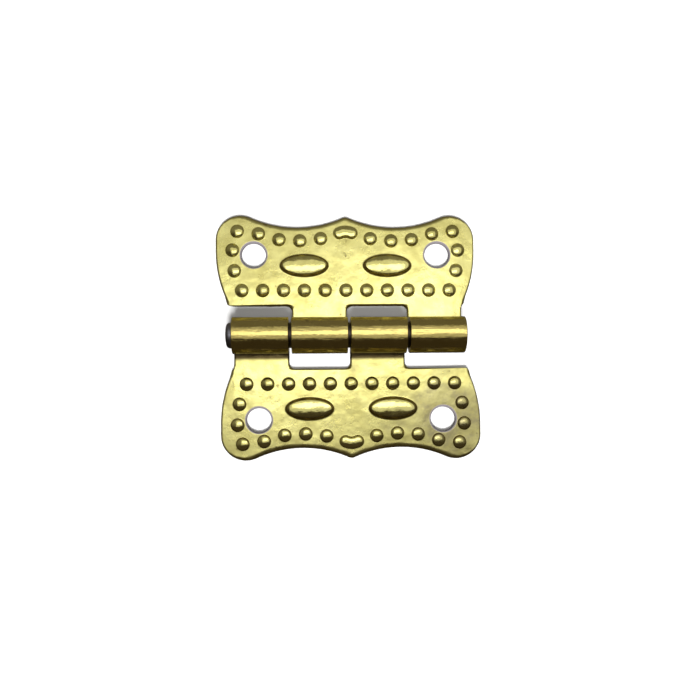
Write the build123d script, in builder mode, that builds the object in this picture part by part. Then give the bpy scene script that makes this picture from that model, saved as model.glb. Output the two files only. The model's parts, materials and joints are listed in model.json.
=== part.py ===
from build123d import *
from math import asin, atan2, cos, degrees, pi, sin, sqrt
import os

# Butterfly box hinge, millimetres. X runs along the pin, Y towards the upper leaf and Z out of the
# front. The backs of both open leaves lie on the XY plane, and the barrel stands over the origin.

# Sheet and pin
sheet = 0.5
pin_diameter = 2.4
pin_clearance = 0.03
pin_proud = 0.65
pin_dome = 0.16
pin_inset = 0.25
pin_chamfer = 0.2

# Barrel of rolled knuckles, taken in turn from the two leaves
knuckles_per_leaf = 2
knuckle_gap = 0.28
roll_slit = 0.1

# Outline of a leaf: reaches are measured from the pin axis, offsets from the leaf's middle line
leaf_width = 25.0
leaf_reach = 11.8
leaf_step = 0.2
leaf_overhang = 1.3
lobe_radius = 2.4
scallop_depth = 1.15
cusp_drop = 0.08
cusp_radius = 0.8
side_straight = 1.1
side_blend = 2.0
notch_gap = 1.3
notch_corner = 0.55
leaf_corner = 0.7
edge_roll = 0.2

# Screw holes, with a rolled-over front rim
screw_hole_diameter = 2.4
screw_rim = 0.22
screw_side_gap = 3.65
screw_top_gap = 3.85

# Embossed beads
bead_diameter = 1.25
bead_height = 0.33
bead_pitch = 2.0
bead_edge_inset = 1.36
bead_side_inset = 1.62
bead_notch_inset = 1.47
bead_cusp_gap = 2.4
bead_lobe_gap = 1.0
corner_bead_out = 0.3
corner_bead_up = 0.82
bead_sides = 12

# Embossed ovals
oval_length = 4.75
oval_width = 2.35
oval_height = 0.5
oval_spacing = 8.0
oval_sides = 20

# Embossed bean under the cusp: a plump arc with its ends bent towards the pin
bean_width = 1.18
bean_height = 0.33
bean_bend_radius = 1.3
bean_bend_angle = 54
bean_cusp_gap = 0.95
bean_taper = 24

# Hollows that the embossing leaves in the back
emboss_wall = 0.12
bead_hollow = 0.26
oval_hollow = 0.4
hollow_sides = 8

# Rings of facets, as shares of the half angle of a dome's arc: foot, shoulder and crown
crown_rings = (1.2, 0.6, 0.2)
hollow_rings = (1.2, 0.35)

# Sizes of the barrel
pin_radius = pin_diameter / 2
bore_radius = pin_radius + pin_clearance
barrel_radius = bore_radius + sheet
barrel_length = leaf_width - 2 * (leaf_overhang + leaf_step)
knuckle_pitch = (barrel_length + knuckle_gap) / (2 * knuckles_per_leaf)
knuckle_length = knuckle_pitch - knuckle_gap
upper_knuckles = [knuckle_pitch * (2 * i + 1) - barrel_length / 2 for i in range(knuckles_per_leaf)]
roll_turn = 270 + degrees(asin(1 - (sheet + roll_slit) / barrel_radius))

# A scallop's arc starts tangent to the lobe beside it and ends at the cusp, where the two scallops meet.
# Its lowest point lies at the offset that solves a quadratic in the lobe's place and the cusp's rise.
half_width = leaf_width / 2
lobe_offset = half_width - lobe_radius
lobe_reach = leaf_reach - lobe_radius
scallop_reach = leaf_reach - scallop_depth
cusp_reach = leaf_reach - cusp_drop
cusp_rise = cusp_reach - scallop_reach
scallop_drop = scallop_reach - lobe_reach
linear_term = 2 * cusp_rise * lobe_offset
lobe_term = cusp_rise * (lobe_offset**2 + scallop_drop**2 - lobe_radius**2) - scallop_depth * cusp_rise**2
scallop_offset = 2 * lobe_term / (linear_term + sqrt(linear_term**2 + 4 * cusp_drop * lobe_term))
scallop_radius = (scallop_offset**2 + cusp_rise**2) / (2 * cusp_rise)
scallop_centre = scallop_reach + scallop_radius
lobe_turn = degrees(atan2(scallop_centre - lobe_reach, scallop_offset - lobe_offset))
scallop_turn = lobe_turn - 90 + degrees(asin(scallop_offset / scallop_radius))

# The side of a leaf is straight under the lobe, then bends in to the end of the barrel
notch_reach = barrel_radius + notch_gap
side_bend_reach = lobe_reach - side_straight
side_drop = side_bend_reach - notch_reach
side_radius = (leaf_overhang**2 + side_drop**2) / (2 * leaf_overhang)
side_centre = half_width - side_radius
side_turn = degrees(asin(side_drop / side_radius))
tab_end = half_width - leaf_overhang

# Beads follow the notched edge, the sides and the scallops, and one stands in each lobe
bead_row_reach = notch_reach + bead_notch_inset
side_row_radius = side_radius - bead_side_inset
side_row_start = asin((bead_row_reach - side_bend_reach) / side_row_radius)
side_row_step = bead_pitch / side_row_radius
side_row_count = int(0.5 - side_row_start / side_row_step)
side_row_turns = [side_row_start + side_row_step * (i + 1) for i in range(side_row_count)]
notch_row_count = int((side_centre + side_row_radius * cos(side_row_start)) / bead_pitch)
scallop_row_radius = scallop_radius + bead_edge_inset
scallop_row_count = 1 + int((lobe_offset - bead_lobe_gap - bead_cusp_gap) / bead_pitch)
scallop_row_offsets = [bead_cusp_gap + bead_pitch * i for i in range(scallop_row_count)]


def scallop_row_reach(offset):
    """Reach of a bead that follows a scallop."""
    return scallop_centre - sqrt(scallop_row_radius**2 - (offset - scallop_offset) ** 2)


def side_bead(turn):
    """Offset and reach of a bead that follows the side of a leaf."""
    return side_centre + side_row_radius * cos(turn), side_bend_reach + side_row_radius * sin(turn)


half_beads = [(bead_pitch * (i + 1), bead_row_reach) for i in range(notch_row_count)]
half_beads += [side_bead(turn) for turn in side_row_turns]
half_beads += [(lobe_offset + corner_bead_out, lobe_reach + corner_bead_up)]
half_beads += [(offset, scallop_row_reach(offset)) for offset in scallop_row_offsets]
bead_places = [(0, bead_row_reach)] + half_beads + [(-offset, reach) for offset, reach in half_beads]

# The ovals stand midway between the two long rows of beads
oval_reach = (bead_row_reach + scallop_reach - bead_edge_inset) / 2
oval_places = [(side * oval_spacing / 2, oval_reach) for side in (-1, 1)]
screw_radius = screw_hole_diameter / 2
screw_offset = half_width - screw_side_gap
screw_places = [(side * screw_offset, leaf_reach - screw_top_gap) for side in (-1, 1)]


def dome(length, width, height, sides, ring_shares):
    """Faceted round or oval cap on the XY plane, with its foot sunk below the plane."""
    cap_radius = (width**2 / 4 + height**2) / (2 * height)
    rim_angle = 2 * atan2(2 * height, width)
    turns = [2 * pi * (i + 0.5) / sides for i in range(sides)]
    points = []
    for share in ring_shares:
        spread = sin(share * rim_angle) / sin(rim_angle) / 2
        rise = height - cap_radius * (1 - cos(share * rim_angle))
        points += [(length * spread * cos(turn), width * spread * sin(turn), rise) for turn in turns]
    with BuildPart() as cap:
        ConvexPolyhedron(points)
    return cap.part


bead_void_diameter = bead_diameter - 2 * emboss_wall
oval_void_length = oval_length - 2 * emboss_wall
oval_void_width = oval_width - 2 * emboss_wall
bead_crown = dome(bead_diameter, bead_diameter, bead_height, bead_sides, crown_rings)
oval_crown = dome(oval_length, oval_width, oval_height, oval_sides, crown_rings)
bead_void = dome(bead_void_diameter, bead_void_diameter, bead_hollow, hollow_sides, hollow_rings)
oval_void = dome(oval_void_length, oval_void_width, oval_hollow, oval_sides, hollow_rings)

# Upper leaf: one stamping, embossed from the back, with its tabs rolled round the pin
leaf_plane = Plane((-leaf_step, 0, 0))
front_plane = leaf_plane.offset(sheet)
bean_centre = cusp_reach - bean_cusp_gap - bean_width / 2 - bean_bend_radius
bean_arc = CenterArc((0, bean_centre), bean_bend_radius, 90 - bean_bend_angle / 2, bean_bend_angle)

with BuildPart() as upper_leaf:
    with BuildSketch(leaf_plane) as plan:
        with BuildLine():
            Line((0, notch_reach), (tab_end, notch_reach))
            CenterArc((side_centre, side_bend_reach), side_radius, -side_turn, side_turn)
            Line((half_width, side_bend_reach), (half_width, lobe_reach))
            CenterArc((lobe_offset, lobe_reach), lobe_radius, 0, lobe_turn)
            CenterArc((scallop_offset, scallop_centre), scallop_radius, lobe_turn - 180, -scallop_turn)
            mirror(about=Plane.YZ)
        make_face()
        for start in upper_knuckles:
            with Locations((start + leaf_step, 0)):
                Rectangle(knuckle_length, notch_reach, align=(Align.MIN, Align.MIN))
        fillet(plan.vertices().group_by(Axis.Y)[1].sort_by(Axis.X)[1:-1], notch_corner)
        fillet(plan.vertices().sort_by_distance((-tab_end, notch_reach))[0], leaf_corner)
        fillet(plan.vertices().sort_by_distance((tab_end, notch_reach))[0], side_blend)
        fillet(plan.vertices().sort_by_distance((0, cusp_reach))[0], cusp_radius)
    extrude(amount=sheet)
    front_edges = upper_leaf.faces().sort_by(Axis.Z)[-1].edges()
    chamfer(front_edges.sort_by(Axis.Y)[knuckles_per_leaf:], edge_roll)

    with BuildSketch(front_plane):
        SlotArc(bean_arc, bean_width)
    extrude(amount=bean_height, taper=bean_taper)
    with Locations(front_plane):
        with Locations(*bead_places):
            add(bead_crown)
        with Locations(*oval_places):
            add(oval_crown)

    with BuildSketch(leaf_plane):
        SlotArc(bean_arc, bean_width - 2 * emboss_wall)
    extrude(amount=bead_hollow, mode=Mode.SUBTRACT)
    with Locations(leaf_plane):
        with Locations(*bead_places):
            add(bead_void, mode=Mode.SUBTRACT)
        with Locations(*oval_places):
            add(oval_void, mode=Mode.SUBTRACT)

    with Locations(front_plane):
        with Locations(*screw_places):
            CounterSinkHole(screw_radius, screw_radius + screw_rim, counter_sink_angle=90)

    for start in upper_knuckles:
        with BuildSketch(Plane.YZ.offset(start)):
            with BuildLine():
                outside = CenterArc((0, barrel_radius), barrel_radius, 270, -roll_turn)
                inside = CenterArc((0, barrel_radius), bore_radius, 270, -roll_turn)
                Line(outside @ 0, inside @ 0)
                Line(outside @ 1, inside @ 1)
            make_face()
        extrude(amount=knuckle_length)

# Lower leaf: the same stamping turned end for end, so that its knuckles fill the upper leaf's notches
with BuildPart() as lower_leaf:
    add(upper_leaf.part, rotation=(0, 0, 180))

# Pin: domed where it stands out of the barrel, chamfered at the end that stops inside it
pin_left = -barrel_length / 2 - pin_proud
pin_right = barrel_length / 2 - pin_inset
pin_dome_radius = (pin_radius**2 + pin_dome**2) / (2 * pin_dome)
pin_dome_turn = 2 * degrees(atan2(pin_dome, pin_radius))

with BuildPart() as hinge_pin:
    with BuildSketch(Plane.XZ):
        with BuildLine():
            CenterArc((pin_left + pin_dome_radius, barrel_radius), pin_dome_radius, 180, -pin_dome_turn)
            Polyline(
                (pin_left + pin_dome, barrel_radius + pin_radius),
                (pin_right - pin_chamfer, barrel_radius + pin_radius),
                (pin_right, barrel_radius + pin_radius - pin_chamfer),
                (pin_right, barrel_radius),
                (pin_left, barrel_radius),
            )
        make_face()
    revolve(axis=Axis((0, 0, barrel_radius), (1, 0, 0)))

os.makedirs("parts", exist_ok=True)
for piece, name in ((upper_leaf, "upper_leaf"), (lower_leaf, "lower_leaf"), (hinge_pin, "hinge_pin")):
    piece.part.label = name
    export_step(piece.part, f"parts/{name}.step")
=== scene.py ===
import bmesh
import bpy
import json
from math import atan2, cos, degrees, hypot, pi, radians, sin
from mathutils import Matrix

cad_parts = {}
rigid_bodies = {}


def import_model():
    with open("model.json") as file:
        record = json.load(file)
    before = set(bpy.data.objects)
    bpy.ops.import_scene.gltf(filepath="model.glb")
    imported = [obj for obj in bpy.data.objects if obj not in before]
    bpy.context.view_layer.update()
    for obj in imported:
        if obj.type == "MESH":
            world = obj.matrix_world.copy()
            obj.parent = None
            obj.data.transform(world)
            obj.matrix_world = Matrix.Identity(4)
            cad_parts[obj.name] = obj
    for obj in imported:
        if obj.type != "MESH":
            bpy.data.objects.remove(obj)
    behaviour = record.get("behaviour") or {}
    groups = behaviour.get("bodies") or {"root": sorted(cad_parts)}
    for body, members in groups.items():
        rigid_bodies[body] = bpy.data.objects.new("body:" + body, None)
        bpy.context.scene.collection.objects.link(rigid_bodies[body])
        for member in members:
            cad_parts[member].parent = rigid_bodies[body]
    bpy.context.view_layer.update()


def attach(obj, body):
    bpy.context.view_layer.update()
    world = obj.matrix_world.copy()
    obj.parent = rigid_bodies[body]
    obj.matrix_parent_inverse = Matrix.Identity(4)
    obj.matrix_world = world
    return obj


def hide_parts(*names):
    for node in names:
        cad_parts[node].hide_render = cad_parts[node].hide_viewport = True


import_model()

# The pieces are drawn in millimetres in the CAD frame and brought to metres when they are finished.
MM = 0.001
ACROSS = (1, 0, 0)
ALONG = (0, 1, 0)
UPRIGHT = (0, 0, 1)
SMOOTH_ANGLE = 34

# Sheet: its front edge is rolled over, its back edge only a little rounded
SHEET = 0.5
EDGE_REACH = 0.45
EDGE_DROP = 0.32
ROLL_STEPS = 8
BACK_ROLL = 0.06
BACK_STEPS = 3
PLAIN_RING = 0.03
NARROW = 0.4
EDGE_BAND = 0.6
ABOVE_BACK = 0.1

# Outline of the upper leaf: places are measured from its middle line and from the pin, turns in degrees
MIDDLE = -0.2
CUSP = 11.72
CUSP_CUT = 0.3
SCALLOP_CENTRE = (4.6995, 21.5054)
SCALLOP_TURN = 49.696
SCALLOP_STEPS = 24
LOBE_CENTRE = (10.1, 9.4)
LOBE_RADIUS = 2.4
LOBE_TURN = 114.043
LOBE_STEPS = 32
LOBE_RUN = 1.1
LOBE_ROLL = [((0, 50), NARROW), ((50, 70), 0.55), ((70, 90), 0.7), ((90, 105), 0.85)]
WAIST_CENTRE = (1.1681, 8.3)
WAIST_RADIUS = 11.3319
WAIST_TURN = 27.714
WAIST_STEPS = 10
WAIST_SECTOR = (-29, 1)
HALF_FOOT = 11.2
LEFT_FOOT_CUT = 0.42
RIGHT_FOOT_CUT = 0.49
NOTCH = 3.03
NOTCH_CUT = 0.55
NOTCH_BAND = 0.55

# Tabs and the knuckles they are rolled into
TAB_SIDES = (HALF_FOOT, 5.91, 0.06, -5.23)
TAB_END = -0.8
TAB_SEAM = 0.2
TAB_FLAT = 2.9
PIN_HEIGHT = 1.73
ROLL_TURN = 310.78
ROLL_FACETS = 108

# Pressed forms and holes of the upper leaf
RIGHT_BEADS = [
    (2, 4.5), (4, 4.5), (6, 4.5), (8, 4.5), (10, 4.5),
    (10.694, 6.408), (10.88, 8.396), (10.4, 10.22),
    (2.4, 9.508), (4.4, 9.294), (6.4, 9.409), (8.374, 9.975),
]
BEADS = [(0, 4.5)] + RIGHT_BEADS + [(-x, y) for x, y in RIGHT_BEADS]
OVALS = [(-4, 6.895), (4, 6.895)]
HOLES = [(-8.85, 7.95), (8.85, 7.95)]
BEAN = (0, 8.88)
BEAN_BEND = 1.3
BEAN_TURN = 54

# Sections of the pressed forms: the crown's half width and its lean at the shoulder, the shoulder's radius,
# the flank's lean and length, and the radius of the fillet at the foot
BEAD_FRONT = {"crown": 0.43, "gentle": 25, "shoulder": 0.4, "steep": 61, "flank": 0.04, "foot": 0.06}
BEAD_BACK = {"crown": 0.25, "gentle": 20, "shoulder": 0.27, "steep": 66, "flank": 0.05, "foot": 0.06}
OVAL_FRONT = {"crown": 0.78, "gentle": 20, "shoulder": 0.36, "steep": 58, "flank": 0.14, "foot": 0.18}
OVAL_BACK = {"crown": 0.72, "gentle": 20, "shoulder": 0.33, "steep": 60, "flank": 0.12, "foot": 0.08}
BEAN_FRONT = {"crown": 0.36, "gentle": 20, "shoulder": 0.33, "steep": 66, "flank": 0.05, "foot": 0.06}
BEAN_BACK = {"crown": 0.22, "gentle": 20, "shoulder": 0.27, "steep": 66, "flank": 0.05, "foot": 0.05}
BEAD_SIDES_FRONT = 36
BEAD_SIDES_BACK = 24
OVAL_SIDES = 64
OVAL_RIDGE_FRONT = 1.24
OVAL_RIDGE_BACK = 1.2
SMALLEST_BEAN_RING = 0.08

# Section of a screw hole
RIM_REACH = 1.39
RIM_ROLL = 0.2
RIM_TURN = 80
RIM_RING = 0.005
WALL_LEAN = 0.03
WALL_DROP = 0.2747
BACK_RING = 0.08
HOLE_SIDES = 48

# Pin, from its domed left end to its rounded right end
PIN_LEFT = -11.65
PIN_DOME_CENTRE = -7.07
PIN_DOME_TURN = 12
PIN_SHOULDER_CENTRE = (-11.2439, 0.8872)
PIN_RUN = 21.7939
PIN_RIGHT = 10.55
PIN_RIGHT_ROUND = 1.0
PIN_SIDES = 56

# Colours
BRIGHT_BRASS = (0.95, 0.89, 0.345)
DEEP_BRASS = (0.74, 0.675, 0.23)
BARREL_BRASS = (0.52, 0.405, 0.13)
# Painted shade on the lower part of the barrel
PAINTED_BARREL_SHADE = (0.2, 0.14, 0.06)
STAIN = (0.42, 0.37, 0.22)
SPECK = (0.22, 0.16, 0.06)
# Painted shade round the feet of the pressed forms and on the rolled edges
PAINTED_SHADE = (0.2, 0.13, 0.04)
# Painted shade in the crease where the leaf runs under the barrel
PAINTED_CREVICE_SHADE = (0.09, 0.062, 0.028)
PUNCHED_EDGE = (0.15, 0.136, 0.145)
PALE_STEEL = (0.3, 0.31, 0.35)
DARK_STEEL = (0.17, 0.16, 0.17)
DIE_LINE = (0.1, 0.09, 0.09)
# Painted shade for the pin inside the barrel
PAINTED_PIN_SHADE = (0.05, 0.035, 0.02)
PAPER = (0.45, 0.45, 0.45)
ROOM_IN_FRONT = (0.05, 0.038, 0.026)
ROOM_BEHIND = (0.185, 0.17, 0.14)
ROOM_WALLS = (0.9, 0.9, 0.9)


def start_piece(name):
    """A new piece in edit mode, still empty."""
    bpy.ops.object.select_all(action="DESELECT")
    bpy.ops.mesh.primitive_plane_add(size=1)
    piece = bpy.context.object
    piece.name = name
    piece.data.name = name
    bpy.ops.object.mode_set(mode="EDIT")
    bpy.ops.mesh.select_mode(type="VERT")
    bpy.ops.mesh.select_all(action="SELECT")
    bpy.ops.mesh.delete(type="VERT")
    return piece


def pen_down(x, y, z):
    """A single point to draw a line from."""
    bpy.ops.mesh.select_all(action="DESELECT")
    bpy.ops.mesh.primitive_plane_add(size=0.1, location=(x, y, z))
    bpy.ops.mesh.merge(type="CENTER")


def draw(dx, dy, dz):
    """Draws the line on by a straight run."""
    bpy.ops.mesh.extrude_region_move(TRANSFORM_OT_translate={"value": (dx, dy, dz)})


def swing(centre, axis, turn, steps):
    """Draws the line on by an arc; a positive turn follows the right hand round the axis."""
    bpy.ops.mesh.spin(steps=steps, angle=radians(-turn), center=centre, axis=axis)


def turn_profile(centre, axis, steps):
    """Turns the drawn line all the way round into a shell."""
    bpy.ops.mesh.select_linked()
    bpy.ops.mesh.spin(steps=steps, angle=2 * pi, center=centre, axis=axis)
    bpy.ops.mesh.select_linked()
    bpy.ops.mesh.remove_doubles(threshold=0.002)
    bpy.ops.mesh.select_linked()


def select_vertices(piece, wanted):
    """Selects the vertices that are wanted for their place."""
    bpy.ops.mesh.select_mode(type="VERT")
    bpy.ops.mesh.select_all(action="DESELECT")
    mesh = bmesh.from_edit_mesh(piece.data)
    for vertex in mesh.verts:
        vertex.select = wanted(vertex.co)
    mesh.select_flush_mode()
    bmesh.update_edit_mesh(piece.data)


def select_faces(piece, wanted):
    """Selects the faces that are wanted for their normal or size."""
    bpy.ops.mesh.select_mode(type="FACE")
    bpy.ops.mesh.select_all(action="DESELECT")
    mesh = bmesh.from_edit_mesh(piece.data)
    mesh.normal_update()
    for face in mesh.faces:
        face.select = wanted(face)
    mesh.select_flush_mode()
    bmesh.update_edit_mesh(piece.data)


def select_open_edges(piece, wanted):
    """Selects the open edges whose two ends are wanted."""
    bpy.ops.mesh.select_mode(type="EDGE")
    bpy.ops.mesh.select_all(action="DESELECT")
    mesh = bmesh.from_edit_mesh(piece.data)
    for edge in mesh.edges:
        edge.select = len(edge.link_faces) < 2 and all(wanted(vertex.co) for vertex in edge.verts)
    mesh.select_flush_mode()
    bmesh.update_edit_mesh(piece.data)


def copy_to_places(places):
    """Copies the selected form, which stands at the first place, to the others."""
    bpy.ops.mesh.select_linked()
    here = places[0]
    for there in places[1:]:
        step = (there[0] - here[0], there[1] - here[1], 0)
        bpy.ops.mesh.duplicate_move(TRANSFORM_OT_translate={"value": step})
        here = there


def to_metres():
    """Joins the seams, turns every face outwards and brings the piece to metres."""
    bpy.ops.mesh.select_mode(type="VERT")
    bpy.ops.mesh.select_all(action="SELECT")
    bpy.ops.mesh.remove_doubles(threshold=0.0005)
    bpy.ops.mesh.normals_make_consistent(inside=False)
    bpy.ops.transform.resize(value=(MM, MM, MM), center_override=(0, 0, 0))
    bpy.ops.object.mode_set(mode="OBJECT")
    bpy.ops.object.shade_smooth_by_angle(angle=radians(SMOOTH_ANGLE))


def draw_outline():
    """Draws the cut outline of the upper leaf, from the cusp round to the right and back to it."""
    level = BACK_ROLL
    pen_down(MIDDLE, CUSP, level)
    swing((MIDDLE + SCALLOP_CENTRE[0], SCALLOP_CENTRE[1], level), UPRIGHT, SCALLOP_TURN, SCALLOP_STEPS)
    swing((MIDDLE + LOBE_CENTRE[0], LOBE_CENTRE[1], level), UPRIGHT, -LOBE_TURN, LOBE_STEPS)
    draw(0, -LOBE_RUN, 0)
    swing((MIDDLE + WAIST_CENTRE[0], WAIST_CENTRE[1], level), UPRIGHT, -WAIST_TURN, WAIST_STEPS)
    draw(0, TAB_END - NOTCH, 0)
    draw(TAB_SIDES[1] - TAB_SIDES[0], 0, 0)
    draw(0, NOTCH - TAB_END, 0)
    draw(TAB_SIDES[2] - TAB_SIDES[1], 0, 0)
    draw(0, TAB_END - NOTCH, 0)
    draw(TAB_SIDES[3] - TAB_SIDES[2], 0, 0)
    draw(0, NOTCH - TAB_END, 0)
    draw(-HALF_FOOT - TAB_SIDES[3], 0, 0)
    swing((MIDDLE - WAIST_CENTRE[0], WAIST_CENTRE[1], level), UPRIGHT, -WAIST_TURN, WAIST_STEPS)
    draw(0, LOBE_RUN, 0)
    swing((MIDDLE - LOBE_CENTRE[0], LOBE_CENTRE[1], level), UPRIGHT, -LOBE_TURN, LOBE_STEPS)
    swing((MIDDLE - SCALLOP_CENTRE[0], SCALLOP_CENTRE[1], level), UPRIGHT, SCALLOP_TURN, SCALLOP_STEPS)
    bpy.ops.mesh.select_all(action="SELECT")
    bpy.ops.mesh.remove_doubles(threshold=0.02)


def round_corner(piece, x, y, cut, steps):
    """Rounds one corner of the outline."""
    select_vertices(piece, lambda place: abs(place.x - x) < 0.03 and abs(place.y - y) < 0.03)
    bpy.ops.mesh.bevel(affect="VERTICES", offset=cut, segments=steps, profile=0.5)


def roll_edge(reach, drop, steps):
    """Rounds the rim of the selected face over, with a plain ring inside it."""
    for step in range(steps):
        here = pi / 2 * step / steps
        ahead = pi / 2 * (step + 1) / steps
        inward = reach * (cos(here) - cos(ahead))
        rise = drop * (sin(ahead) - sin(here))
        bpy.ops.mesh.inset(thickness=inward, depth=rise, use_even_offset=True)
    bpy.ops.mesh.inset(thickness=PLAIN_RING, depth=0, use_even_offset=True)


def narrow_roll(piece, side, centre, radius, sector, share):
    """Narrows the edge roll to a share of its reach, along a sector of an arc of the outline."""
    x = MIDDLE + side * centre[0]
    y = centre[1]
    for step in range(1, ROLL_STEPS + 1):
        lean = pi / 2 * step / ROLL_STEPS
        level = SHEET - EDGE_DROP * (1 - sin(lean))
        reach = EDGE_REACH * (1 - cos(lean))

        def on_sector(place):
            out = side * (place.x - x)
            near = abs(hypot(out, place.y - y) - radius) < EDGE_BAND and abs(place.z - level) < 0.0005
            return near and sector[0] - 0.5 < degrees(atan2(place.y - y, out)) <= sector[1] - 0.5

        select_vertices(piece, on_sector)
        grow = (radius - share * reach) / (radius - reach)
        bpy.ops.transform.resize(value=(grow, grow, 1), center_override=(x, y, 0))


def cut_blank(piece):
    """The flat blank: its outline, rounded corners, thickness and rolled edges."""
    draw_outline()
    bpy.ops.mesh.select_all(action="SELECT")
    bpy.ops.mesh.edge_face_add()
    round_corner(piece, MIDDLE, CUSP, CUSP_CUT, 6)
    round_corner(piece, MIDDLE - HALF_FOOT, NOTCH, LEFT_FOOT_CUT, 6)
    round_corner(piece, MIDDLE + HALF_FOOT, NOTCH, RIGHT_FOOT_CUT, 5)
    for side in TAB_SIDES[1:]:
        round_corner(piece, MIDDLE + side, NOTCH, NOTCH_CUT, 6)
    bpy.ops.mesh.select_mode(type="FACE")
    bpy.ops.mesh.select_all(action="SELECT")
    draw(0, 0, SHEET - EDGE_DROP - BACK_ROLL)
    bpy.ops.mesh.select_all(action="SELECT")
    bpy.ops.mesh.normals_make_consistent(inside=False)
    select_faces(piece, lambda face: face.normal.z > 0.9)
    roll_edge(EDGE_REACH, EDGE_DROP, ROLL_STEPS)
    select_vertices(piece, lambda place: NOTCH < place.y < NOTCH + NOTCH_BAND and place.z > ABOVE_BACK)
    bpy.ops.transform.resize(value=(1, NARROW, 1), center_override=(0, NOTCH, 0))
    for side in (-1, 1):
        for sector, share in LOBE_ROLL:
            narrow_roll(piece, side, LOBE_CENTRE, LOBE_RADIUS, sector, share)
        narrow_roll(piece, side, WAIST_CENTRE, WAIST_RADIUS, WAIST_SECTOR, NARROW)
    select_faces(piece, lambda face: face.normal.z < -0.9)
    roll_edge(BACK_ROLL, BACK_ROLL, BACK_STEPS)


def narrow_tab_roll(piece, side):
    """Narrows the edge roll along one side of a tab."""
    edge = MIDDLE + side
    inward = -1 if side in (TAB_SIDES[0], TAB_SIDES[2]) else 1

    def on_roll(place):
        on_tab = place.y < TAB_FLAT and place.z > ABOVE_BACK
        return on_tab and 0 < inward * (place.x - edge) < EDGE_BAND

    select_vertices(piece, on_roll)
    bpy.ops.transform.resize(value=(NARROW, 1, 1), center_override=(edge, 0, 0))


def roll_tabs(piece):
    """Cuts the tabs under the pin, narrows their edge roll and rolls them round the pin into knuckles."""
    bpy.ops.mesh.select_all(action="SELECT")
    bpy.ops.mesh.bisect(plane_co=(0, 0, 0), plane_no=ALONG, clear_inner=True, threshold=0.001)
    bpy.ops.mesh.select_all(action="SELECT")
    bpy.ops.mesh.bisect(plane_co=(0, TAB_SEAM, 0), plane_no=ALONG, threshold=0.001)
    for side in TAB_SIDES:
        narrow_tab_roll(piece, side)
    select_open_edges(piece, lambda place: place.y < 0.01)
    swing((0, 0, PIN_HEIGHT), ACROSS, -ROLL_TURN, ROLL_FACETS)
    bpy.ops.mesh.edge_face_add()


def boss_rings(crown, gentle, shoulder, steep, flank, foot):
    """Reach and height of the rings of a pressed form, from its filleted foot up a steep flank and over
    the shoulder to a gently curved crown."""
    gentle = radians(gentle)
    steep = radians(steep)
    reach = crown + shoulder * (sin(steep) - sin(gentle)) + flank * cos(steep) + foot * sin(steep)
    rings = [(reach, 0)]
    for step in range(1, 4):
        lean = steep * step / 3
        rings.append((reach - foot * sin(lean), foot * (1 - cos(lean))))
    reach, height = rings[-1]
    reach -= flank * cos(steep)
    height += flank * sin(steep)
    rings.append((reach, height))
    for step in range(1, 6):
        lean = steep + (gentle - steep) * step / 5
        inward = shoulder * (sin(steep) - sin(lean))
        rise = shoulder * (cos(lean) - cos(steep))
        rings.append((reach - inward, height + rise))
    height = rings[-1][1]
    curve = crown / sin(gentle)
    for step in range(1, 6):
        lean = gentle * (1 - 0.19 * step)
        rings.append((curve * sin(lean), height + curve * (cos(lean) - cos(gentle))))
    return rings


def raised_form(places, level, ridge, section, sides):
    """A round or oval pressed form, built up in rings at the first place and copied to the others."""
    x = MIDDLE + places[0][0]
    y = places[0][1]
    rings = boss_rings(**section)
    reach, height = rings[0][0] + 0.01, 0
    length = ridge + reach
    bpy.ops.mesh.select_all(action="DESELECT")
    bpy.ops.mesh.primitive_circle_add(vertices=sides, radius=1, location=(x, y, level))
    bpy.ops.transform.resize(value=(length, reach, 1), center_override=(x, y, level))
    for next_reach, next_height in rings:
        next_length = ridge * min(next_reach / section["crown"], 1) + next_reach
        draw(0, 0, next_height - height)
        shrink = (next_length / length, next_reach / reach, 1)
        bpy.ops.transform.resize(value=shrink, center_override=(x, y, level))
        reach, length, height = next_reach, next_length, next_height
    bpy.ops.mesh.edge_face_add()
    copy_to_places(places)


def bean_form(level, section):
    """A bent bean: its outline is drawn round an arc, then built up in rings."""
    x = MIDDLE + BEAN[0]
    y = BEAN[1]
    rings = boss_rings(**section)
    edge = rings[0][0] + 0.03
    left = radians(90 + BEAN_TURN / 2)
    right = radians(90 - BEAN_TURN / 2)
    pen_down(x + (BEAN_BEND - edge) * cos(right), y + (BEAN_BEND - edge) * sin(right), level)
    swing((x, y, level), UPRIGHT, BEAN_TURN, 12)
    swing((x + BEAN_BEND * cos(left), y + BEAN_BEND * sin(left), level), UPRIGHT, -180, 22)
    swing((x, y, level), UPRIGHT, -BEAN_TURN, 20)
    swing((x + BEAN_BEND * cos(right), y + BEAN_BEND * sin(right), level), UPRIGHT, -180, 22)
    bpy.ops.mesh.select_linked()
    bpy.ops.mesh.remove_doubles(threshold=0.005)
    bpy.ops.mesh.select_linked()
    bpy.ops.mesh.edge_face_add()
    height = 0
    for next_reach, next_height in rings:
        if next_reach > SMALLEST_BEAN_RING:
            inward = edge - next_reach
            bpy.ops.mesh.inset(thickness=inward, depth=next_height - height, use_even_offset=True)
            edge, height = next_reach, next_height


def screw_holes():
    """A hole with a rolled rim in front and a small one behind, turned once and copied."""
    x = MIDDLE + HOLES[0][0]
    y = HOLES[0][1]
    pen_down(x + RIM_REACH + RIM_RING, y, SHEET)
    draw(-RIM_RING, 0, 0)
    swing((x + RIM_REACH, y, SHEET - RIM_ROLL), ALONG, -RIM_TURN, 7)
    draw(-WALL_LEAN, 0, -WALL_DROP)
    draw(BACK_ROLL, 0, -BACK_ROLL)
    draw(BACK_RING, 0, 0)
    turn_profile((x, y, 0), UPRIGHT, HOLE_SIDES)
    copy_to_places(HOLES)


def close_flats(piece):
    """Fills the front and the back between the edge and the forms let into them."""
    for level in (SHEET, 0):
        select_open_edges(piece, lambda place: abs(place.z - level) < 0.001)
        bpy.ops.mesh.fill(use_beauty=True)


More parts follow.
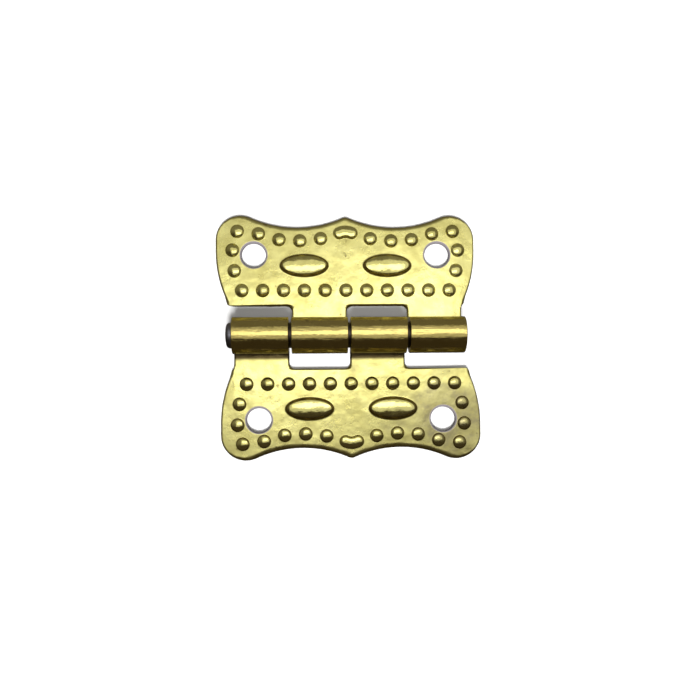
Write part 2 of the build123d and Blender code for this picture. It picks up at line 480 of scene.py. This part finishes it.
def make_upper_leaf():
    """The upper leaf, one stamping with its two knuckles."""
    piece = start_piece("upper_leaf_stamping")
    cut_blank(piece)
    roll_tabs(piece)
    select_faces(piece, lambda face: face.calc_area() > 100)
    bpy.ops.mesh.delete(type="ONLY_FACE")
    bpy.ops.mesh.select_mode(type="VERT")
    raised_form(BEADS, SHEET, 0, BEAD_FRONT, BEAD_SIDES_FRONT)
    raised_form(BEADS, 0, 0, BEAD_BACK, BEAD_SIDES_BACK)
    raised_form(OVALS, SHEET, OVAL_RIDGE_FRONT, OVAL_FRONT, OVAL_SIDES)
    raised_form(OVALS, 0, OVAL_RIDGE_BACK, OVAL_BACK, OVAL_SIDES)
    bean_form(SHEET, BEAN_FRONT)
    bean_form(0, BEAN_BACK)
    screw_holes()
    close_flats(piece)
    to_metres()
    return piece


def make_lower_leaf(upper):
    """The same stamping turned end for end, as a mesh of its own."""
    bpy.ops.object.select_all(action="DESELECT")
    upper.select_set(True)
    bpy.context.view_layer.objects.active = upper
    bpy.ops.object.duplicate(linked=False)
    piece = bpy.context.object
    piece.name = "lower_leaf_stamping"
    piece.data.name = "lower_leaf_stamping"
    bpy.ops.object.mode_set(mode="EDIT")
    bpy.ops.mesh.select_all(action="SELECT")
    bpy.ops.transform.rotate(value=pi, orient_axis="Z", center_override=(0, 0, 0))
    bpy.ops.object.mode_set(mode="OBJECT")
    return piece


def make_pin():
    """The wire pin: domed where it stands out of the barrel, rounded at its hidden end."""
    piece = start_piece("pin_wire")
    pen_down(PIN_LEFT, 0, PIN_HEIGHT)
    swing((PIN_DOME_CENTRE, 0, PIN_HEIGHT), ALONG, PIN_DOME_TURN, 5)
    swing((PIN_SHOULDER_CENTRE[0], 0, PIN_HEIGHT + PIN_SHOULDER_CENTRE[1]), ALONG, 90 - PIN_DOME_TURN, 8)
    draw(PIN_RUN, 0, 0)
    swing((PIN_RIGHT, 0, PIN_HEIGHT + PIN_RIGHT_ROUND), ALONG, 90, 5)
    draw(0, 0, -PIN_RIGHT_ROUND)
    turn_profile((0, 0, PIN_HEIGHT), ACROSS, PIN_SIDES)
    to_metres()
    return piece


def new_finish(name):
    """A new material with its shader, and the node that gives places on the piece."""
    finish = bpy.data.materials.new(name)
    finish.use_nodes = True
    tree = finish.node_tree
    place = tree.nodes.new("ShaderNodeTexCoord")
    return finish, tree, tree.nodes["Principled BSDF"], place.outputs["Object"]


def split_place(tree, place):
    """The three coordinates of a place."""
    node = tree.nodes.new("ShaderNodeSeparateXYZ")
    tree.links.new(place, node.inputs["Vector"])
    return node.outputs["X"], node.outputs["Y"], node.outputs["Z"]


def noise(tree, place, scale, detail, rough):
    """Cloudy noise; scale is in clouds to the metre."""
    node = tree.nodes.new("ShaderNodeTexNoise")
    node.inputs["Scale"].default_value = scale
    node.inputs["Detail"].default_value = detail
    node.inputs["Roughness"].default_value = rough
    tree.links.new(place, node.inputs["Vector"])
    return node.outputs["Fac"]


def drawn_noise(tree, place, length_share, scale, detail, rough):
    """Noise drawn out into lines along the pin; a small length share makes long lines."""
    node = tree.nodes.new("ShaderNodeMapping")
    node.inputs["Scale"].default_value = (length_share, 1, 1)
    tree.links.new(place, node.inputs["Vector"])
    return noise(tree, node.outputs["Vector"], scale, detail, rough)


def spread(tree, value, low, high, to_low, to_high):
    """Maps the values between low and high on to another span, and holds them there."""
    node = tree.nodes.new("ShaderNodeMapRange")
    node.inputs["From Min"].default_value = low
    node.inputs["From Max"].default_value = high
    node.inputs["To Min"].default_value = to_low
    node.inputs["To Max"].default_value = to_high
    tree.links.new(value, node.inputs["Value"])
    return node.outputs["Result"]


def combine(tree, how, first, second):
    """Adds, subtracts or otherwise combines two values."""
    node = tree.nodes.new("ShaderNodeMath")
    node.operation = how
    for socket, value in zip(node.inputs, (first, second)):
        if isinstance(value, (int, float)):
            socket.default_value = value
        else:
            tree.links.new(value, socket)
    return node.outputs["Value"]


def times(tree, first, second):
    """One value times another."""
    return combine(tree, "MULTIPLY", first, second)


def plus(tree, first, second):
    """One value and another."""
    return combine(tree, "ADD", first, second)


def distance(tree, value, mark):
    """How far a value is from a mark, on either side."""
    return combine(tree, "ABSOLUTE", combine(tree, "SUBTRACT", value, mark), 0)


def tint(tree, share, first, second):
    """Blends from the first colour to the second; either may be a colour or another blend."""
    node = tree.nodes.new("ShaderNodeMix")
    node.data_type = "RGBA"
    tree.links.new(share, node.inputs["Factor"])
    for socket, colour in ((node.inputs[6], first), (node.inputs[7], second)):
        if isinstance(colour, tuple):
            socket.default_value = (*colour, 1)
        else:
            tree.links.new(colour, socket)
    return node.outputs[2]


def roughen(tree, shader, skin, strength, depth):
    """Gives a material the relief of a skin."""
    node = tree.nodes.new("ShaderNodeBump")
    node.inputs["Strength"].default_value = strength
    node.inputs["Distance"].default_value = depth
    tree.links.new(skin, node.inputs["Height"])
    tree.links.new(node.outputs["Normal"], shader.inputs["Normal"])


def tarnish(tree, place, right, out, stain_share, right_stain):
    """Where the sheet is clouded by stains, which gather towards the right lobe."""
    to_right = spread(tree, right, 0, 8 * MM, 0, right_stain)
    to_lobe = times(tree, to_right, spread(tree, out, 4 * MM, 5.6 * MM, 0, 1))
    film = plus(tree, noise(tree, place, scale=150, detail=3, rough=0.55), to_lobe)
    clouds = spread(tree, film, 0.66 - stain_share, 0.82 - stain_share, 0, 1)
    grain = spread(tree, noise(tree, place, scale=1000, detail=3, rough=0.6), 0.42, 0.75, 0.35, 1)
    return times(tree, clouds, grain)


def foot_painted_shade(tree, height, out, aside, bead_shade, shade_top):
    """Painted shade round the feet of the pressed forms; on the ovals it is darker and reaches higher."""
    from_row = combine(tree, "MAXIMUM", distance(tree, out, 6.9 * MM), times(tree, aside, 0.19))
    oval = spread(tree, from_row, 1.4 * MM, 1.5 * MM, 1, 0)
    rise = spread(tree, height, 0.503 * MM, 0.53 * MM, 0, 1)
    lowered = combine(tree, "SUBTRACT", height, times(tree, oval, 0.16 * MM))
    fall = spread(tree, lowered, shade_top - 0.11 * MM, shade_top, 1, 0)
    return times(tree, times(tree, rise, fall), spread(tree, oval, 0, 1, bead_shade, 0.88))


def edge_painted_shade(tree, height, on_leaf):
    """Painted shade on the rolled and cut edges and in the hollows, but little on the flat back."""
    below_front = spread(tree, height, 0.495 * MM, 0.4 * MM, 0, 0.55)
    off_back = spread(tree, height, 0.01 * MM, 0.08 * MM, 0.15, 1)
    return times(tree, times(tree, below_front, on_leaf), off_back)


def punched_edges(tree, out, aside):
    """Where the screw holes are punched through the sheet."""
    hole_x, hole_y = HOLES[1]
    away_x = combine(tree, "POWER", combine(tree, "SUBTRACT", aside, hole_x * MM), 2)
    away_y = combine(tree, "POWER", combine(tree, "SUBTRACT", out, hole_y * MM), 2)
    away = combine(tree, "SQRT", plus(tree, away_x, away_y), 0)
    return spread(tree, away, 1.32 * MM, 1.4 * MM, 1, 0)


def sheet_skin(tree, place, on_barrel):
    """Orange peel and waves of the sheet, and the streaks that rolling leaves on the barrel."""
    peel = times(tree, noise(tree, place, scale=5200, detail=2, rough=0.5), 0.3)
    ripple = times(tree, noise(tree, place, scale=1300, detail=3, rough=0.5), 2)
    swell = combine(tree, "SUBTRACT", noise(tree, place, scale=330, detail=2, rough=0.5), 0.5)
    waves = times(tree, swell, spread(tree, on_barrel, 0, 1, 7, 1))
    lines = drawn_noise(tree, place, length_share=0.09, scale=2200, detail=3, rough=0.6)
    streaks = times(tree, combine(tree, "SUBTRACT", lines, 0.5), times(tree, on_barrel, 2))
    return plus(tree, plus(tree, ripple, peel), plus(tree, waves, streaks))


def stamped_brass(name, middle, stain_share, right_stain, crevice_shade_strength, bead_shade, shade_top):
    """Bright yellow sheet: mottled, with an orange-peel skin, stains and dull cut edges, and painted shade
    round the feet of the forms, on the rolled edges, in the crease under the barrel and on the barrel's
    lower part.
    """
    finish, tree, shader, place = new_finish(name)
    right, across_pin, height = split_place(tree, place)
    out = combine(tree, "ABSOLUTE", across_pin, 0)
    aside = distance(tree, right, middle)
    on_leaf = spread(tree, out, 2.1 * MM, 2.5 * MM, 0, 1)
    off_leaf = spread(tree, on_leaf, 0, 1, 1, 0)
    on_barrel = times(tree, off_leaf, spread(tree, height, 0.6 * MM, 0.9 * MM, 0, 1))

    mottle = spread(tree, noise(tree, place, scale=520, detail=5, rough=0.62), 0.36, 0.66, 0, 1)
    specks = spread(tree, noise(tree, place, scale=1250, detail=2, rough=0.4), 0.73, 0.79, 0, 0.7)
    stain = tarnish(tree, place, right, out, stain_share, right_stain)
    # Painted shade: a dark ring round the feet of the pressed forms
    foot = foot_painted_shade(tree, height, out, aside, bead_shade, shade_top)
    # Painted shade on the rolled edges and in the hollows, joined with the ring round the feet
    painted_shade_mask = combine(tree, "MAXIMUM", foot, edge_painted_shade(tree, height, on_leaf))
    low = spread(tree, height, 0.6 * MM, 0.5 * MM, 0, 1)
    # Painted shade in the crease next to the barrel, strongest on the lower leaf
    crevice_shade = times(tree, spread(tree, out, 2 * MM, 2.26 * MM, crevice_shade_strength, 0), low)
    punched = punched_edges(tree, out, aside)
    # Painted shade: the barrel darkens below its top
    barrel_lower_shade = times(tree, spread(tree, height, 1.9 * MM, 2.6 * MM, 0.5, 0), on_barrel)

    colour = tint(tree, mottle, BRIGHT_BRASS, DEEP_BRASS)
    colour = tint(tree, times(tree, on_barrel, 0.8), colour, BARREL_BRASS)
    colour = tint(tree, barrel_lower_shade, colour, PAINTED_BARREL_SHADE)
    colour = tint(tree, stain, colour, STAIN)
    colour = tint(tree, specks, colour, SPECK)
    colour = tint(tree, painted_shade_mask, colour, PAINTED_SHADE)
    colour = tint(tree, crevice_shade, colour, PAINTED_CREVICE_SHADE)
    colour = tint(tree, punched, colour, PUNCHED_EDGE)
    tree.links.new(colour, shader.inputs["Base Color"])
    tree.links.new(spread(tree, punched, 0, 1, 1, 0.25), shader.inputs["Metallic"])

    polish = spread(tree, noise(tree, place, scale=900, detail=4, rough=0.6), 0.3, 0.7, 0.23, 0.36)
    dull = times(tree, combine(tree, "MAXIMUM", stain, painted_shade_mask), 0.18)
    worn = plus(tree, dull, times(tree, punched, 0.2))
    rubbed = times(tree, spread(tree, height, 0.6 * MM, 0.75 * MM, 0, -0.14), on_leaf)
    burnished = plus(tree, times(tree, on_barrel, -0.12), rubbed)
    roughness = plus(tree, polish, plus(tree, worn, burnished))
    tree.links.new(roughness, shader.inputs["Roughness"])
    roughen(tree, shader, sheet_skin(tree, place, on_barrel), strength=0.8, depth=0.02 * MM)
    return finish


def drawn_wire(name):
    """Dull blue-grey steel with the fine lines of the drawing die along it, and painted shade on the part
    inside the barrel.
    """
    finish, tree, shader, place = new_finish(name)
    right = split_place(tree, place)[0]
    lines = drawn_noise(tree, place, length_share=0.06, scale=6500, detail=3, rough=0.6)
    clouds = spread(tree, noise(tree, place, scale=900, detail=4, rough=0.6), 0.35, 0.7, 0, 1)
    # Painted shade: the pin darkens where it runs inside the barrel, so the knuckle gaps look dark
    inside = spread(tree, right, -10.9 * MM, -10.7 * MM, 0, 0.9)
    colour = tint(tree, clouds, PALE_STEEL, DARK_STEEL)
    colour = tint(tree, spread(tree, lines, 0.45, 0.75, 0, 0.5), colour, DIE_LINE)
    colour = tint(tree, inside, colour, PAINTED_PIN_SHADE)
    tree.links.new(colour, shader.inputs["Base Color"])
    shader.inputs["Metallic"].default_value = 1
    tree.links.new(spread(tree, clouds, 0, 1, 0.32, 0.5), shader.inputs["Roughness"])
    roughen(tree, shader, lines, strength=0.6, depth=0.01 * MM)
    return finish


def light_panel(name, location, rotation, width, depth, power):
    """A plain rectangular panel light; angles in degrees."""
    turned = [radians(angle) for angle in rotation]
    bpy.ops.object.light_add(type="AREA", location=location, rotation=turned)
    panel = bpy.context.object
    panel.name = name
    panel.data.shape = "RECTANGLE"
    panel.data.size = width
    panel.data.size_y = depth
    panel.data.energy = power
    return panel


def studio_room():
    """A room that reflects dark in front and paler behind, with walls that the camera sees white."""
    room = bpy.data.worlds.new("studio_room")
    room.use_nodes = True
    tree = room.node_tree
    towards = tree.nodes.new("ShaderNodeTexCoord")
    behind = split_place(tree, towards.outputs["Generated"])[1]
    wall = tint(tree, spread(tree, behind, -0.35, 0.35, 0, 1), ROOM_IN_FRONT, ROOM_BEHIND)
    seen = tree.nodes.new("ShaderNodeLightPath")
    wall = tint(tree, seen.outputs["Is Camera Ray"], wall, ROOM_WALLS)
    tree.links.new(wall, tree.nodes["Background"].inputs["Color"])
    return room


upper_leaf = make_upper_leaf()
lower_leaf = make_lower_leaf(upper_leaf)
pin = make_pin()
# Each leaf's painted shade is set by its crevice and bead shade strengths
upper_brass = stamped_brass(
    "brass_upper_leaf", middle=MIDDLE * MM, stain_share=0.0, right_stain=0.0, crevice_shade_strength=0.1,
    bead_shade=0.5, shade_top=0.68 * MM,
)
lower_brass = stamped_brass(
    "brass_lower_leaf", middle=-MIDDLE * MM, stain_share=0.03, right_stain=0.26, crevice_shade_strength=0.95,
    bead_shade=0.9, shade_top=0.71 * MM,
)
upper_leaf.data.materials.append(upper_brass)
lower_leaf.data.materials.append(lower_brass)
pin.data.materials.append(drawn_wire("steel_pin"))

for piece, body, node in (
    (upper_leaf, "upper", "upper_leaf"),
    (lower_leaf, "lower", "lower_leaf"),
    (pin, "lower", "hinge_pin"),
):
    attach(piece, body)
    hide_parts(node)

# Floor
bpy.ops.object.select_all(action="DESELECT")
bpy.ops.mesh.primitive_plane_add(size=1.2, location=(0, 0, -0.02 * MM))
floor = bpy.context.object
floor.name = "studio_floor"
paper = bpy.data.materials.new("white_paper")
paper.use_nodes = True
paper_shader = paper.node_tree.nodes["Principled BSDF"]
paper_shader.inputs["Base Color"].default_value = (*PAPER, 1)
paper_shader.inputs["Roughness"].default_value = 0.9
floor.data.materials.append(paper)
floor.visible_glossy = False

# Light: a soft panel with a bright core close over the hinge, and a far one that lights the floor
panel = light_panel(
    "soft_panel", location=(0.01, 0.0085, 0.032), rotation=(0, 0, 6),
    width=0.068, depth=0.043, power=0.0054,
)
panel.visible_camera = False
core = light_panel(
    "panel_core", location=(0.0015, 0.0048, 0.0318), rotation=(0, 0, 9),
    width=0.034, depth=0.014, power=0.0023,
)
core.visible_camera = False
far_panel = light_panel(
    "floor_panel", location=(0, -1.212, 1.7), rotation=(35.5, 0, 0),
    width=0.64, depth=0.64, power=140,
)
far_panel.visible_glossy = False
bpy.context.scene.world = studio_room()
bpy.context.scene.view_settings.view_transform = "Standard"

# Camera
bpy.ops.object.camera_add(
    location=(-0.0031542, -0.0102237, 0.0757098), rotation=(0.0298, -0.0422, -0.0112)
)
camera = bpy.context.object
camera.data.lens = 40.344
camera.data.sensor_width = 36
camera.data.shift_y = 0.1
camera.data.clip_start = 0.001
camera.data.clip_end = 10
bpy.context.scene.camera = camera
